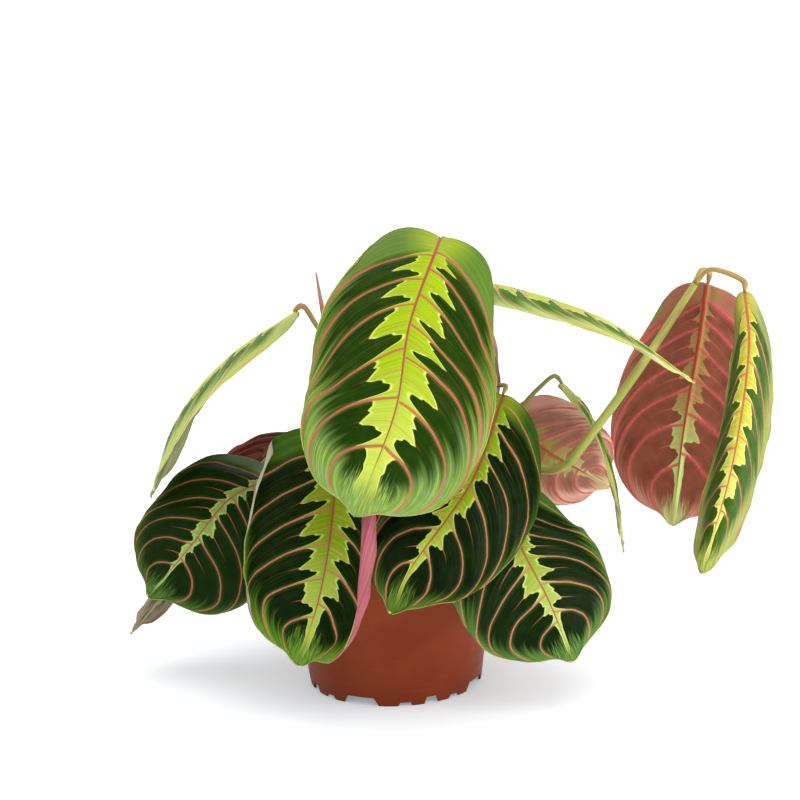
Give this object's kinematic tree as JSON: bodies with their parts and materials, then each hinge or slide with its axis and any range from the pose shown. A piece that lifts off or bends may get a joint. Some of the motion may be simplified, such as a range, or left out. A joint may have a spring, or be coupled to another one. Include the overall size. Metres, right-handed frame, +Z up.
{
  "type": "potted prayer plant",
  "caption": "Prayer plant with broad arching leaves, herringbone pink ribs and a jagged lime band, growing in a tapered terracotta-coloured nursery pot.",
  "frame": {"origin": "middle of the pot's foot, on the floor it stands on", "axes": "+Z up, the side with the long crown leaf faces -Y, the long leaning stem points to +X"},
  "size_m": [0.3232, 0.2044, 0.2331],
  "materials": {
    "pot": "satin",
    "soil": "rough",
    "blade": "satin",
    "petiole": "satin",
    "stem": "satin",
    "rolled_leaf": "satin"
  },
  "bodies": {
    "root": {"pot": "pot", "soil": "soil", "stem_right": "stem", "stem_left": "stem", "rolled_leaf": "rolled_leaf", "blade_crown": "blade", "petiole_crown": "petiole", "blade_left_front": "blade", "petiole_left_front": "petiole", "blade_right_front": "blade", "petiole_right_front": "petiole", "blade_low_right": "blade", "petiole_low_right": "petiole", "blade_low_left": "blade", "petiole_low_left": "petiole", "blade_lowest_left": "blade", "petiole_lowest_left": "petiole", "blade_high_left": "blade", "petiole_high_left": "petiole", "blade_high_right": "blade", "petiole_high_right": "petiole", "blade_far_right_back": "blade", "petiole_far_right_back": "petiole", "blade_far_right_front": "blade", "petiole_far_right_front": "petiole", "blade_behind_right": "blade", "petiole_behind_right": "petiole", "blade_mid_right": "blade", "petiole_mid_right": "petiole", "blade_right_behind_crown": "blade", "petiole_right_behind_crown": "petiole", "blade_left_under": "blade", "petiole_left_under": "petiole", "blade_back_top": "blade", "petiole_back_top": "petiole", "blade_back_left": "blade", "petiole_back_left": "petiole", "blade_back_right": "blade", "petiole_back_right": "petiole", "blade_back_low": "blade", "petiole_back_low": "petiole"}
  },
  "joints": []
}
